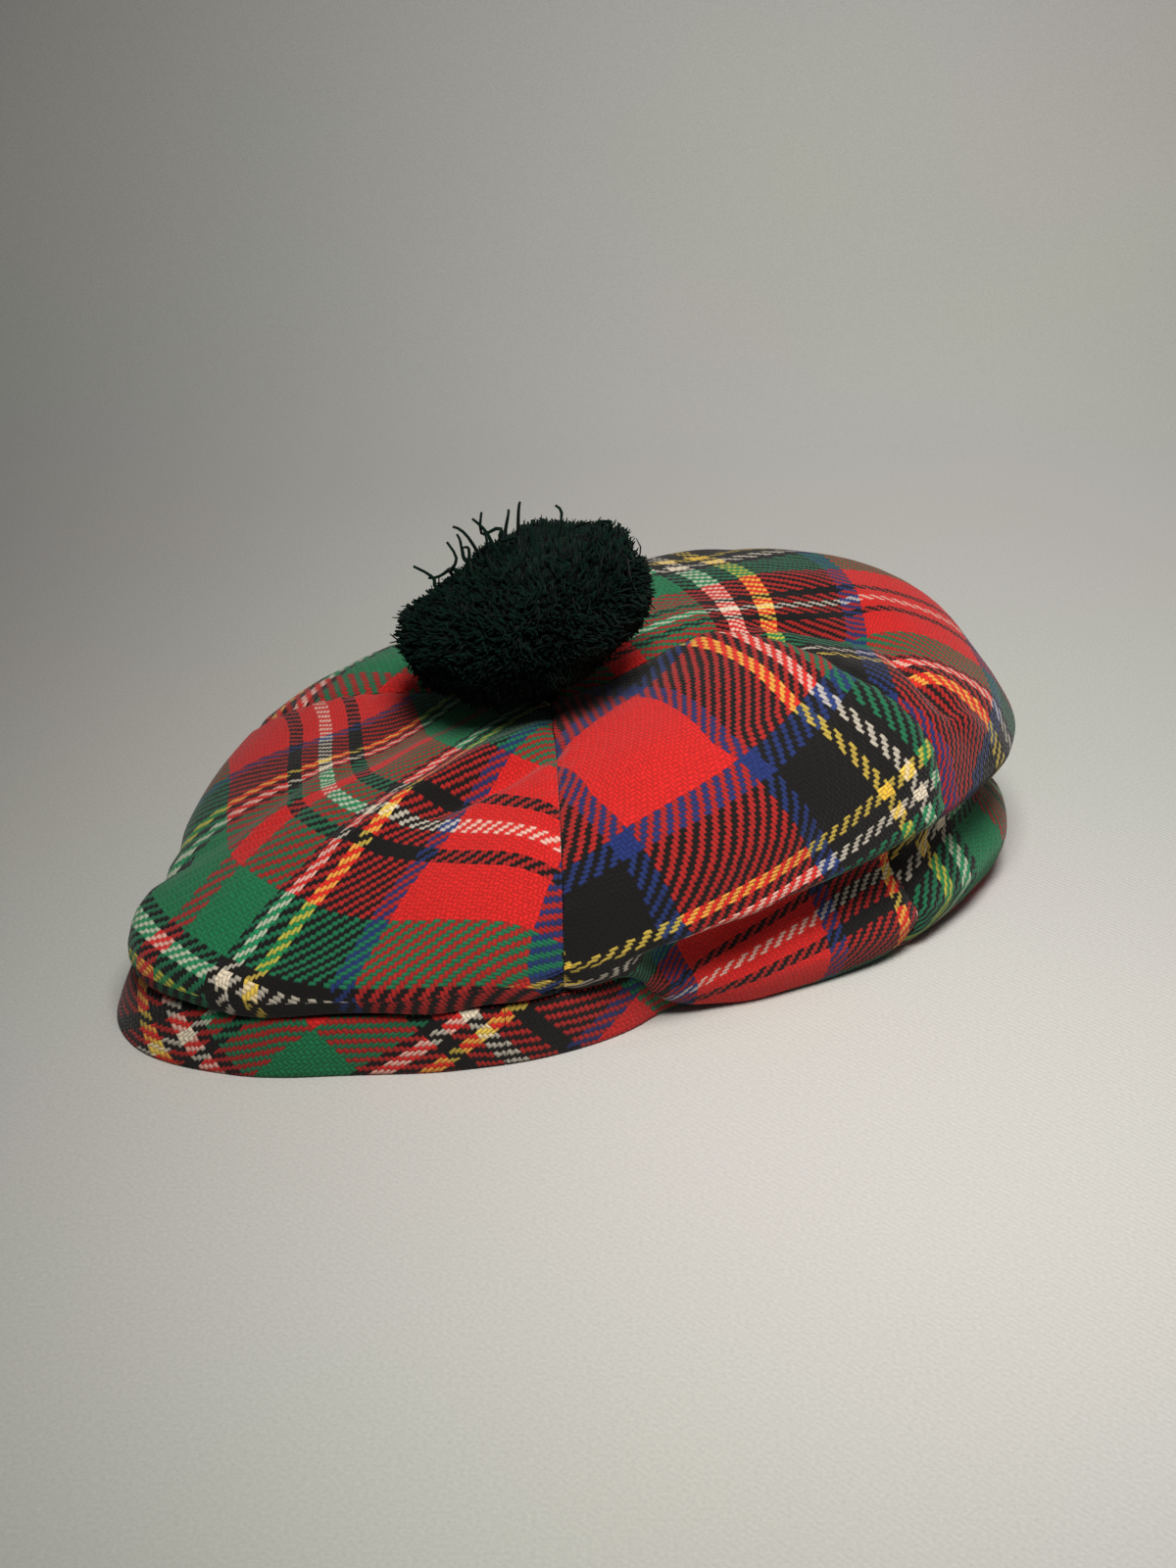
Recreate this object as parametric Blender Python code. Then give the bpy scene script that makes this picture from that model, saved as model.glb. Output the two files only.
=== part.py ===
# Tam o' shanter: a soft tartan cap of four wedge panels on a headband, with a yarn pompom on top.
# Metres, +Z up, front towards -Y. It rests on the floor as it was put down: the crown sits low on the
# band at the front left and stands up, puffed, at the back right.
import bpy
import bmesh
import numpy as np
from math import cos, sin, pi, radians

# Driving sizes
crown_reach = 0.150        # longest way in plan from the top centre to the rim
crown_height = 0.090       # scale of every height of the crown
cloth_thickness = 0.0020
head_reach = 0.118         # longest way in plan from the middle of the band to the band
band_height = 0.019
band_thickness = 0.0028
pompom_width = 0.080
pompom_depth = 0.076
pompom_height = 0.050
binding_radius = 0.0023    # yarn that holds the pompom, in the hole where the panels meet
seam_gap = 0.0003          # clear gap between neighbouring pieces

# Places in plan, measured from the middle of the hat
top_x = -0.080 * crown_reach
top_y = 0.107 * crown_reach
top_height = 0.755 * crown_height
band_x = -0.254 * head_reach
band_y = -0.186 * head_reach
hole_radius = binding_radius + seam_gap

# Crown sections, a row for each direction in plan about the top centre (degrees, 0 = +X, 90 = back).
# reach: rim, share of crown_reach. Heights are shares of crown_height: inner at 0.35 of the reach,
# outer at 0.70, shoulder at 0.93, rim, then the tuck under the rim, the sag below it and the foot that
# lies on the floor. tuck_in, sag_in and foot_in say how far in from the rim to the band those lie.
crown_columns = ("azimuth", "reach", "inner", "outer", "shoulder", "rim",
                 "tuck_in", "tuck", "sag_in", "sag", "foot_in", "foot")
crown_rows = (
    (-180, 0.760, 0.710, 0.600, 0.450, 0.320, 0.25, 0.285, 0.30, 0.240, 0.50, 0.200),
    (-165, 0.800, 0.690, 0.560, 0.410, 0.305, 0.20, 0.270, 0.42, 0.258, 0.62, 0.247),
    (-148, 0.905, 0.680, 0.510, 0.370, 0.290, 0.20, 0.265, 0.42, 0.255, 0.62, 0.245),
    (-125, 0.905, 0.690, 0.540, 0.380, 0.290, 0.20, 0.265, 0.42, 0.255, 0.62, 0.245),
    (-105, 0.750, 0.720, 0.600, 0.430, 0.300, 0.25, 0.265, 0.45, 0.255, 0.65, 0.245),
    (-85, 0.680, 0.760, 0.680, 0.500, 0.340, 0.35, 0.290, 0.50, 0.260, 0.68, 0.245),
    (-60, 0.680, 0.810, 0.780, 0.600, 0.410, 0.70, 0.310, 0.40, 0.130, 0.60, 0.030),
    (-35, 0.745, 0.850, 0.840, 0.680, 0.480, 0.55, 0.340, 0.08, 0.120, 0.30, 0.000),
    (-15, 0.870, 0.890, 0.880, 0.720, 0.530, 0.30, 0.360, 0.02, 0.140, 0.22, 0.000),
    (10, 1.035, 0.920, 0.920, 0.740, 0.540, 0.18, 0.380, 0.00, 0.160, 0.20, 0.000),
    (35, 1.040, 0.930, 0.990, 0.820, 0.580, 0.20, 0.380, 0.02, 0.140, 0.20, 0.000),
    (60, 0.950, 0.880, 0.900, 0.780, 0.560, 0.22, 0.360, 0.04, 0.140, 0.22, 0.000),
    (90, 0.820, 0.840, 0.780, 0.640, 0.480, 0.25, 0.340, 0.06, 0.140, 0.26, 0.000),
    (120, 0.740, 0.790, 0.690, 0.530, 0.410, 0.30, 0.320, 0.08, 0.150, 0.25, 0.000),
    (150, 0.720, 0.740, 0.660, 0.500, 0.350, 0.28, 0.290, 0.12, 0.170, 0.32, 0.060),
)

# Folds and bulges: azimuth and place (share of the reach), half widths (degrees, share), rise in shares
# of crown_height. A negative rise is a valley.
fold_columns = ("azimuth", "place", "wide", "long", "rise")
fold_rows = (
    (12, 0.72, 11, 0.22, -0.085),
    (-135, 0.55, 14, 0.40, 0.020),
)

# Seams between panels: azimuth from the top centre to the band, read at seam_places along the way down.
seam_columns = ("top", "inner", "outer", "rim", "band")
seam_places = (0.0, 0.17, 0.33, 0.55, 1.0)
seam_rows = (
    (-87, -87, -87, -87, -87),
    (25, 22, 2, -14, -25),
    (93, 93, 93, 93, 93),
    (163, 163, 163, 163, 163),
)
panel_names = ("crown_panel_front_right", "crown_panel_back_right", "crown_panel_back_left",
               "crown_panel_front_left")

# Headband in plan: angle about its own middle, reach as a share of head_reach, and how far its bottom
# stands out beyond its top as a share of band_height.
band_columns = ("angle", "reach", "lean")
band_rows = (
    (-180, 0.730, 0.16), (-163, 0.940, 0.44), (-150, 0.970, 0.34), (-135, 0.860, 0.16),
    (-119, 0.705, 0.08), (-97, 0.600, 0.08), (-75, 0.556, 0.08), (-50, 0.545, 0.08), (-37, 0.550, 0.08),
    (-20, 0.650, 0.04), (0, 0.800, 0.04), (18, 0.900, 0.04), (35, 0.830, 0.04), (55, 0.700, 0.04),
    (80, 0.610, 0.04), (105, 0.590, 0.04), (130, 0.610, 0.04), (155, 0.650, 0.08),
)
joint_angle = -85          # the stitched joint of the band

# Pompom: where its middle lies from the top centre as shares of its width, depth and height, its tilt
# about the front to back line, and its locks of yarn.
pompom_middle = (-0.080, 0.0, 0.560)
pompom_tilt = 24
lock_count = 110
lock_depth = 0.0022        # from the tips of the locks to the hollows between them
tie_depth = 0.0045         # how far the binding yarn goes down through the crown

# Stray ends of yarn: direction seen from the front (degrees from +X), turn to the back, length as a share
# of pompom_height.
stray_columns = ("angle", "back", "length")
stray_rows = (
    (140, -8, 0.08), (128, 12, 0.13), (117, -4, 0.16), (107, 8, 0.17), (96, -6, 0.13), (66, 4, 0.06),
)

columns_per_panel = 14
rows_per_panel = 30


def table(columns, rows):
    """The columns of a table as arrays, by name."""
    values = np.array(rows, float).T
    return dict(zip(columns, values))


def around(angles, values, where):
    """Smooth closed curve through the values at the given angles (degrees), read at where."""
    a = np.concatenate([angles - 360, angles, angles + 360])
    v = np.concatenate([values, values, values])
    slope = np.gradient(v, a)
    w = np.asarray(where, float)
    w = (w - angles[0]) % 360 + angles[0]
    k = np.clip(np.searchsorted(a, w, side="right") - 1, 0, len(a) - 2)
    h = a[k + 1] - a[k]
    s = (w - a[k]) / h
    return ((2 * s**3 - 3 * s**2 + 1) * v[k] + (s**3 - 2 * s**2 + s) * h * slope[k]
            + (3 * s**2 - 2 * s**3) * v[k + 1] + (s**3 - s**2) * h * slope[k + 1])


def turn_gap(a, b):
    """Difference of two directions in degrees, between -180 and 180."""
    return (np.asarray(a) - b + 180) % 360 - 180


crown = table(crown_columns, crown_rows)
folds = table(fold_columns, fold_rows)
seams = table(seam_columns, seam_rows)
band = table(band_columns, band_rows)


def band_reach(angle):
    return head_reach * around(band["angle"], band["reach"], angle)


def band_lean(angle):
    return band_height * around(band["angle"], band["lean"], angle)


def band_seen_from_top():
    """Where the top of the band lies in plan about the top centre: directions and reaches, in order."""
    angle = np.arange(0, 360, 1.0)
    edge = band_reach(angle) - band_lean(angle) / 2
    x = band_x - top_x + edge * np.cos(np.radians(angle))
    y = band_y - top_y + edge * np.sin(np.radians(angle))
    azimuth = np.degrees(np.arctan2(y, x))
    order = np.argsort(azimuth)
    return azimuth[order], np.hypot(x, y)[order]


band_azimuth, band_distance = band_seen_from_top()


def section(azimuth):
    """Control points (reach, height) of the crown in each direction, from the top centre to the band."""
    get = {name: around(crown["azimuth"], crown[name], azimuth) for name in crown_columns[1:]}
    rim = crown_reach * get["reach"]
    high = crown_height
    low = band_height + seam_gap
    end = np.interp(np.asarray(azimuth, float), band_azimuth, band_distance, period=360)
    end = end - 0.2 * band_thickness
    rim = np.maximum(rim, end + 2.3 * cloth_thickness)
    way = rim - end
    rim_height = get["rim"] * high
    left = (1 - get["foot_in"]) * way
    foot = get["foot"] * high
    under = [
        (rim - get["tuck_in"] * way, get["tuck"] * high),
        (rim - get["sag_in"] * way, get["sag"] * high),
        (rim - get["foot_in"] * way, foot),
        (end + np.minimum(5.5 * cloth_thickness, 0.60 * left), foot + 0.30 * (low - foot)),
        (end + np.minimum(3.0 * cloth_thickness, 0.35 * left), low + 1.2 * cloth_thickness),
        (end + np.minimum(1.0 * cloth_thickness, 0.15 * left), low + 0.35 * cloth_thickness),
    ]
    # Where the rim lies close above the band the cloth only turns round under it; further out it sags.
    open_share = np.clip((way - 4 * cloth_thickness) / (4.5 * cloth_thickness), 0, 1)
    open_share = open_share**2 * (3 - 2 * open_share)
    turned = []
    for i, (r, z) in enumerate(under):
        a = pi / 2 * (i + 1) / (len(under) + 1)
        round_r = end + way * cos(a)
        round_z = rim_height - (rim_height - low) * sin(a)
        turned.append((round_r + open_share * (r - round_r), round_z + open_share * (z - round_z)))
    points = [
        (hole_radius + 0 * rim, top_height + 0 * rim),
        (0.10 * rim, top_height + 0.10 * (get["inner"] * high - top_height)),
        (0.35 * rim, get["inner"] * high),
        (0.70 * rim, get["outer"] * high),
        (0.93 * rim, get["shoulder"] * high),
        (rim - 0.9 * cloth_thickness, rim_height + 2.2 * cloth_thickness),
        (rim, rim_height),
        *turned,
        (end, low),
    ]
    return np.stack([np.stack(np.broadcast_arrays(r, z), -1) for r, z in points], -2)


knots = np.array([0, 0.05, 0.17, 0.36, 0.50, 0.555, 0.58, 0.67, 0.76, 0.85, 0.92, 0.96, 0.98, 1.0])
rim_knot = 6


def crown_point(azimuth, along):
    """Point of the outer face of the crown: azimuth in degrees, along from 0 (top centre) to 1 (band)."""
    azimuth, along = np.broadcast_arrays(np.asarray(azimuth, float), np.asarray(along, float))
    p = section(azimuth)
    k = np.clip(np.searchsorted(knots, along, side="right") - 1, 0, len(knots) - 2)
    step = (knots[1:] - knots[:-1])[:, None]
    chord = (p[..., 1:, :] - p[..., :-1, :]) / step
    pace = np.linalg.norm(chord, axis=-1, keepdims=True)
    before, after = pace[..., :-1, :], pace[..., 1:, :]
    inner = (chord[..., :-1, :] * after + chord[..., 1:, :] * before) / (before + after)
    slope = np.concatenate([chord[..., :1, :], inner, chord[..., -1:, :]], -2)
    kk = k[..., None, None]
    p0 = np.take_along_axis(p, kk, -2)[..., 0, :]
    p1 = np.take_along_axis(p, kk + 1, -2)[..., 0, :]
    m0 = np.take_along_axis(slope, kk, -2)[..., 0, :]
    m1 = np.take_along_axis(slope, kk + 1, -2)[..., 0, :]
    h = (knots[k + 1] - knots[k])[..., None]
    s = ((along - knots[k]) / (knots[k + 1] - knots[k]))[..., None]
    q = ((2 * s**3 - 3 * s**2 + 1) * p0 + (s**3 - 2 * s**2 + s) * h * m0
         + (3 * s**2 - 2 * s**3) * p1 + (s**3 - s**2) * h * m1)
    reach, height = q[..., 0], q[..., 1]
    rim = p[..., rim_knot, 0]
    share = reach / rim
    over = np.clip((0.60 - along) / 0.06, 0, 1)
    for i in range(len(fold_rows)):
        bump = (np.exp(-(turn_gap(azimuth, folds["azimuth"][i]) / folds["wide"][i]) ** 2)
                * np.exp(-((share - folds["place"][i]) / folds["long"][i]) ** 2))
        height = height + over * folds["rise"][i] * crown_height * bump
    height = np.maximum(height, 0)
    a = np.radians(azimuth)
    return np.stack([top_x + reach * np.cos(a), top_y + reach * np.sin(a), height], -1)


def crown_height_at(x, y):
    """Height of the top face of the crown over points in plan near the top centre."""
    azimuth = np.degrees(np.arctan2(y - top_y, x - top_x))
    reach = np.hypot(x - top_x, y - top_y)
    along = np.linspace(0, 0.36, 80)
    line = crown_point(azimuth[:, None], along[None, :])
    away = np.hypot(line[..., 0] - top_x, line[..., 1] - top_y)
    return np.array([np.interp(r, a, h) for r, a, h in zip(reach, away, line[..., 2])])


def seam_azimuth(row, along):
    return np.interp(along, seam_places, [seams[name][row] for name in seam_columns])


def place(name, verts, faces, colour, roughness):
    """A solid from points and faces, with its own material, in the hat's collection."""
    mesh = bpy.data.meshes.new(name)
    mesh.from_pydata([tuple(v) for v in verts], [], faces)
    mesh.validate()
    mesh.update()
    obj = bpy.data.objects.new(name, mesh)
    hat.objects.link(obj)
    material = bpy.data.materials.new(name + "_cloth")
    material.use_nodes = True
    shader = material.node_tree.nodes["Principled BSDF"]
    shader.inputs["Base Color"].default_value = (*colour, 1)
    shader.inputs["Roughness"].default_value = roughness
    mesh.materials.append(material)
    return obj


def sheet(outer, inner):
    """Points and faces of a closed solid between two grids of the same shape."""
    rows, cols = outer.shape[:2]
    verts = np.concatenate([outer.reshape(-1, 3), inner.reshape(-1, 3)])
    n = rows * cols
    faces = []
    for r in range(rows - 1):
        for c in range(cols - 1):
            a, b = r * cols + c, r * cols + c + 1
            d, e = a + cols, b + cols
            faces.append((a, d, e, b))
            faces.append((n + a, n + b, n + e, n + d))
    edge = [c for c in range(cols)]
    edge += [r * cols + cols - 1 for r in range(1, rows)]
    edge += [(rows - 1) * cols + c for c in range(cols - 2, -1, -1)]
    edge += [r * cols for r in range(rows - 2, 0, -1)]
    for i, a in enumerate(edge):
        b = edge[(i + 1) % len(edge)]
        if a < b:
            faces += [(a, b, n + b), (a, n + b, n + a)]
        else:
            faces += [(a, b, n + a), (b, n + b, n + a)]
    return verts, faces


def seam_ease(azimuth, along):
    """Half of the seam gap as a turn about the top centre, in degrees."""
    at = crown_point(azimuth, along)
    reach = np.hypot(at[:, 0] - top_x, at[:, 1] - top_y)
    return np.degrees(0.5 * seam_gap / reach)


def crown_panel(index):
    """One wedge of the crown between two seams."""
    after = (index + 1) % len(seam_rows)
    along = np.linspace(0, 1, rows_per_panel + 1)
    start = seam_azimuth(index, along)
    stop = seam_azimuth(after, along)
    stop = start + (stop - start) % 360
    start = start + seam_ease(start, along)
    stop = stop - seam_ease(stop, along)
    across = np.linspace(0, 1, columns_per_panel + 1)
    azimuth = start[:, None] + (stop - start)[:, None] * across
    t = along[:, None] + 0 * azimuth
    outer = crown_point(azimuth, t)
    turn, down = 0.2, 0.0005
    span = (crown_point(azimuth + turn, t) - crown_point(azimuth - turn, t))
    low_t, high_t = np.clip(t - down, 0, 1), np.clip(t + down, 0, 1)
    fall = (crown_point(azimuth, high_t) - crown_point(azimuth, low_t))
    normal = np.cross(fall, span)
    normal /= np.linalg.norm(normal, axis=-1, keepdims=True)
    inner = outer - cloth_thickness * normal
    return outer, inner


def headband():
    """The band as an open ring with a slit at its joint."""
    opening = np.degrees(0.5 * seam_gap / band_reach(joint_angle))
    angle = np.linspace(joint_angle + opening, joint_angle + 360 - opening, 65)
    high = np.array([0.0, 0.10, 0.50, 0.90, 1.0])
    puff = np.array([-0.0004, 0.0, 0.0006, 0.0, -0.0004])
    a = np.radians(angle)
    reach = band_reach(angle)
    x = band_x + reach * np.cos(a)
    y = band_y + reach * np.sin(a)
    tangent = np.stack([np.gradient(x), np.gradient(y)], -1)
    tangent /= np.linalg.norm(tangent, axis=-1, keepdims=True)
    out = np.stack([tangent[:, 1], -tangent[:, 0]], -1)
    grids = []
    for side in (1, -1):
        wall = side * (band_thickness / 2 + puff)[:, None]
        lean = (0.5 - high)[:, None] * band_lean(angle)
        grid = np.empty((len(high), len(angle), 3))
        grid[..., 0] = x + wall * out[:, 0] + lean * np.cos(a)
        grid[..., 1] = y + wall * out[:, 1] + lean * np.sin(a)
        grid[..., 2] = (band_height * high)[:, None]
        grids.append(grid)
    return grids


def pompom():
    """A head of cut yarn in pointed locks, with its binding yarn going down through the crown."""
    bm = bmesh.new()
    bmesh.ops.create_icosphere(bm, subdivisions=4, radius=1.0)
    bm.verts.ensure_lookup_table()
    low = min(bm.verts, key=lambda v: v.co.z)
    ring = [e.other_vert(low) for e in low.link_edges]
    made = bmesh.ops.extrude_face_region(bm, geom=list(low.link_faces))["geom"]
    tip = [v for v in made if isinstance(v, bmesh.types.BMVert)]
    bmesh.ops.delete(bm, geom=[f for f in low.link_faces if f.is_valid], context="FACES_ONLY")
    bm.verts.index_update()
    ring_ids = [v.index for v in ring]
    tip_ids = [v.index for v in tip]
    dirs = np.array([v.co[:] for v in bm.verts])
    dirs /= np.linalg.norm(dirs, axis=1, keepdims=True)

    k = np.arange(lock_count)
    up = 1 - 2 * (k + 0.5) / lock_count
    turn = k * pi * (3 - 5**0.5)
    locks = np.stack([np.sqrt(1 - up**2) * np.cos(turn), np.sqrt(1 - up**2) * np.sin(turn), up], -1)
    near = np.degrees(np.arccos(np.clip(dirs @ locks.T, -1, 1))).min(1)
    widest = 100 / lock_count**0.5
    hollow = lock_depth * np.clip(near / widest, 0, 1)
    half = np.array([pompom_width, pompom_depth, pompom_height]) / 2
    body = dirs * (half - hollow[:, None])
    stray = table(stray_columns, stray_rows)
    for angle, back, length in zip(*(stray[name] for name in stray_columns)):
        a, b = radians(angle - pompom_tilt), radians(back)
        way = np.array([cos(a) * cos(b), sin(b), sin(a) * cos(b)])
        i = int(np.argmax(dirs @ way))
        body[i] += way * length * pompom_height
    t = radians(pompom_tilt)
    x = body[:, 0] * cos(t) - body[:, 2] * sin(t)
    z = body[:, 0] * sin(t) + body[:, 2] * cos(t)
    body = np.stack([top_x + x + pompom_middle[0] * pompom_width,
                     top_y + body[:, 1] + pompom_middle[1] * pompom_depth,
                     top_height + z + pompom_middle[2] * pompom_height], -1)
    rest = crown_height_at(body[:, 0], body[:, 1]) + 2.5 * seam_gap
    body[:, 2] = np.maximum(body[:, 2], rest)
    for ids, height in ((ring_ids, top_height + 2.5 * seam_gap), (tip_ids, top_height - tie_depth)):
        for i in ids:
            a = np.arctan2(dirs[i, 1], dirs[i, 0])
            inside = np.hypot(dirs[i, 0], dirs[i, 1]) > 1e-6
            body[i] = (top_x + inside * binding_radius * cos(a), top_y + inside * binding_radius * sin(a),
                       height)
    faces = [[v.index for v in f.verts] for f in bm.faces]
    bm.free()
    return body, faces


for old in list(bpy.data.objects):
    bpy.data.objects.remove(old, do_unlink=True)
hat = bpy.data.collections.new("tam_o_shanter")
bpy.context.scene.collection.children.link(hat)

panel_colours = ((0.42, 0.02, 0.02), (0.38, 0.03, 0.02), (0.10, 0.14, 0.05), (0.16, 0.12, 0.04))
solids = []
for index, name in enumerate(panel_names):
    outer, inner = crown_panel(index)
    verts, faces = sheet(outer, inner)
    solids.append(place(name, verts, faces, panel_colours[index], 0.9))
ring_outer, ring_inner = headband()
verts, faces = sheet(ring_inner, ring_outer)
solids.append(place("headband", verts, faces, (0.20, 0.06, 0.03), 0.9))
verts, faces = pompom()
solids.append(place("toorie", verts, faces, (0.003, 0.022, 0.014), 0.95))

# The origin lies on the floor under the middle of the hat's outline.
corners = np.array([v.co[:] for obj in solids for v in obj.data.vertices])
middle = (corners.min(0) + corners.max(0)) / 2
for obj in solids:
    for v in obj.data.vertices:
        v.co.x -= middle[0]
        v.co.y -= middle[1]
    obj.data.update()
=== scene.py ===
from math import cos, pi, radians, sin

import bmesh
import bpy
import numpy as np
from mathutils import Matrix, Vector


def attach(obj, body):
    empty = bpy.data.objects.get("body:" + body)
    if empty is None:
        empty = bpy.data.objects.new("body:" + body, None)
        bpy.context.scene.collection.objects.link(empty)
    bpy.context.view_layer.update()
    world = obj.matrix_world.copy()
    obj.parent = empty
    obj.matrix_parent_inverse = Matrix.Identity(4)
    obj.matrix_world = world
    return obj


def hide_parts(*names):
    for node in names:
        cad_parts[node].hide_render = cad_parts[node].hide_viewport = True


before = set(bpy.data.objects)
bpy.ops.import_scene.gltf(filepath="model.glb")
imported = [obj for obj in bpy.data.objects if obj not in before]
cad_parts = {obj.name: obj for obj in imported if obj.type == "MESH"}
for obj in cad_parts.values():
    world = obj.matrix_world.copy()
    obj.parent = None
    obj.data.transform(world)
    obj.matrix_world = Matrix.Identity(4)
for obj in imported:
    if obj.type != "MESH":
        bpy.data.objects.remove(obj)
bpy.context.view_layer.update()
scene = bpy.context.scene

# Everything below is in metres. The cap was drawn round its own top centre, and then moved by this much.
shift = np.array([0.000235, -0.022812, 0.0])


# sRGB hex to the linear colour that Blender's sockets take
def colour(hexCode):
    parts = [int(hexCode[i:i + 2], 16) / 255 for i in (0, 2, 4)]
    return [p / 12.92 if p <= 0.04045 else ((p + 0.055) / 1.055) ** 2.4 for p in parts] + [1.0]


# Adds a node, sets its properties and sockets, and links sockets that are given another node's output.
# A socket goes by its name, or by its number after an underline.
def addNode(tree, kind, props=None, **sockets):
    node = tree.nodes.new("ShaderNode" + kind)
    for key, value in (props or {}).items():
        setattr(node, key, value)
    for key, value in sockets.items():
        socket = node.inputs[int(key[1:])] if key[0] == "_" else node.inputs[key.replace("_", " ")]
        if isinstance(value, bpy.types.NodeSocket):
            tree.links.new(value, socket)
        else:
            socket.default_value = value
    return node


def mixColour(tree, share, first, second, blend="MIX"):
    settings = {"data_type": "RGBA", "blend_type": blend}
    return addNode(tree, "Mix", settings, Factor=share, _6=first, _7=second).outputs[2]


def newMaterial(name):
    material = bpy.data.materials.new(name)
    material.use_nodes = True
    return material, material.node_tree


# Gives the material its colour, the bump that a height makes, and the values that are the same all over
def dress(tree, base, height, settings):
    shader = tree.nodes["Principled BSDF"]
    bump = addNode(tree, "Bump", Height=height, Strength=settings["bump"], Distance=settings["bumpHeight"])
    tree.links.new(base, shader.inputs["Base Color"])
    tree.links.new(bump.outputs["Normal"], shader.inputs["Normal"])
    for socket, value in settings["surface"].items():
        shader.inputs[socket].default_value = value


# Camera: the photograph looks down at the cap by 27 degrees from about three quarters of a metre
view = {
    "pitch": 27.0, "distance": 0.74, "aimHeight": 0.045, "lens": 54.0, "near": 0.01,
    "frame": (1200, 1600),  # pixels
}
camera = bpy.data.objects.new("camera", bpy.data.cameras.new("camera"))
scene.collection.objects.link(camera)
pitch = radians(view["pitch"])
aim = shift + np.array([0, 0, view["aimHeight"]])
camera.location = aim + view["distance"] * np.array([0, -cos(pitch), sin(pitch)])
camera.rotation_euler = (pi / 2 - pitch, 0, 0)
camera.data.lens = view["lens"]
camera.data.clip_start = view["near"]
scene.camera = camera

# Stage: a pale grey cloth that runs up behind, and soft light from the front and above
stage = {
    "front": -1.4, "back": 0.42, "bend": 0.50, "height": 1.6, "halfWidth": 2.2,
    "flatSteps": 24, "bendSteps": 16,
    "dark": "ACABA6", "pale": "C4C3BE", "speckScale": 900.0, "cloudScale": 3.0, "clouding": 0.12,
    "ribScale": 260.0, "ribWaver": 1.5, "bump": 0.25, "bumpHeight": 0.0003,
    "surface": {"Roughness": 0.95, "Specular IOR Level": 0.1},
}
# Place and aim in metres, and spread in degrees
lamps = {
    "key": {"place": (0.07, -0.42, 0.81), "aim": (0.115, -0.115, 0.0), "size": 0.30, "watts": 1.45,
            "spread": 62},
    "top": {"place": (0.26, 0.15, 0.95), "aim": (0.17, 0.62, 0.12), "size": 0.5, "watts": 2.1, "spread": 84},
}
lampTint = (1.0, 0.985, 0.955)
room = {"tint": (0.92, 0.96, 1.0, 1), "strength": 0.095}


# Matt grey cotton drill: a fine diagonal rib that only just shows, and a tone that is never quite flat
def drillMaterial():
    material, tree = newMaterial("grey cotton drill")
    where = addNode(tree, "NewGeometry").outputs["Position"]
    rib = addNode(tree, "TexWave", {"bands_direction": "DIAGONAL"}, Vector=where,
                  Scale=stage["ribScale"], Distortion=stage["ribWaver"], Detail=2.0)
    speck = addNode(tree, "TexNoise", Vector=where, Scale=stage["speckScale"], Detail=3.0)
    cloud = addNode(tree, "TexNoise", Vector=where, Scale=stage["cloudScale"], Detail=2.0)
    speckled = mixColour(tree, speck.outputs["Fac"], colour(stage["dark"]), colour(stage["pale"]))
    clouded = mixColour(tree, stage["clouding"], speckled, cloud.outputs["Color"], "MULTIPLY")
    dress(tree, clouded, rib.outputs["Fac"], stage)
    return material


def buildBackdrop():
    flat, bend = stage["flatSteps"], stage["bendSteps"]
    line = [(stage["front"] + (stage["back"] - stage["front"]) * i / flat, 0.0) for i in range(flat + 1)]
    for i in range(1, bend + 1):
        a = pi / 2 * i / bend
        line.append((stage["back"] + stage["bend"] * sin(a), stage["bend"] * (1 - cos(a))))
    line.append((stage["back"] + stage["bend"], stage["height"]))
    across = (-1, -0.5, 0, 0.5, 1)
    n = len(across)
    verts = [(x * stage["halfWidth"], y, z) for y, z in line for x in across]
    faces = [(n * r + c, n * r + c + 1, n * r + c + n + 1, n * r + c + n)
             for r in range(len(line) - 1) for c in range(n - 1)]
    mesh = bpy.data.meshes.new("backdrop")
    mesh.from_pydata(verts, [], faces)
    mesh.shade_smooth()
    mesh.materials.append(drillMaterial())
    sweep = bpy.data.objects.new("backdrop", mesh)
    scene.collection.objects.link(sweep)


def addLamp(name, lamp):
    data = bpy.data.lights.new(name, "AREA")
    data.size = lamp["size"]
    data.energy = lamp["watts"]
    data.spread = radians(lamp["spread"])
    data.color = lampTint
    bulb = bpy.data.objects.new(name + "_light", data)
    bulb.location = lamp["place"]
    way = Vector(np.array(lamp["aim"]) - np.array(lamp["place"]))
    bulb.rotation_euler = way.to_track_quat("-Z", "Y").to_euler()
    scene.collection.objects.link(bulb)


def buildRoom():
    world = bpy.data.worlds.new("soft room")
    world.use_nodes = True
    background = world.node_tree.nodes["Background"]
    background.inputs["Color"].default_value = room["tint"]
    background.inputs["Strength"].default_value = room["strength"]
    scene.world = world
    scene.view_settings.view_transform = "Standard"


buildBackdrop()
for name, lamp in lamps.items():
    addLamp(name, lamp)
buildRoom()
print("stage ready")

# Sizes of the cap, the same as its solids have
cap = {
    "crownReach": 0.150, "crownHeight": 0.090, "cloth": 0.0020,
    "headReach": 0.118, "bandHeight": 0.019, "bandThickness": 0.0028,
    "pompomWidth": 0.080, "pompomDepth": 0.076, "pompomHeight": 0.050,
    "bindingRadius": 0.0023, "seamGap": 0.0003,
}
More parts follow.
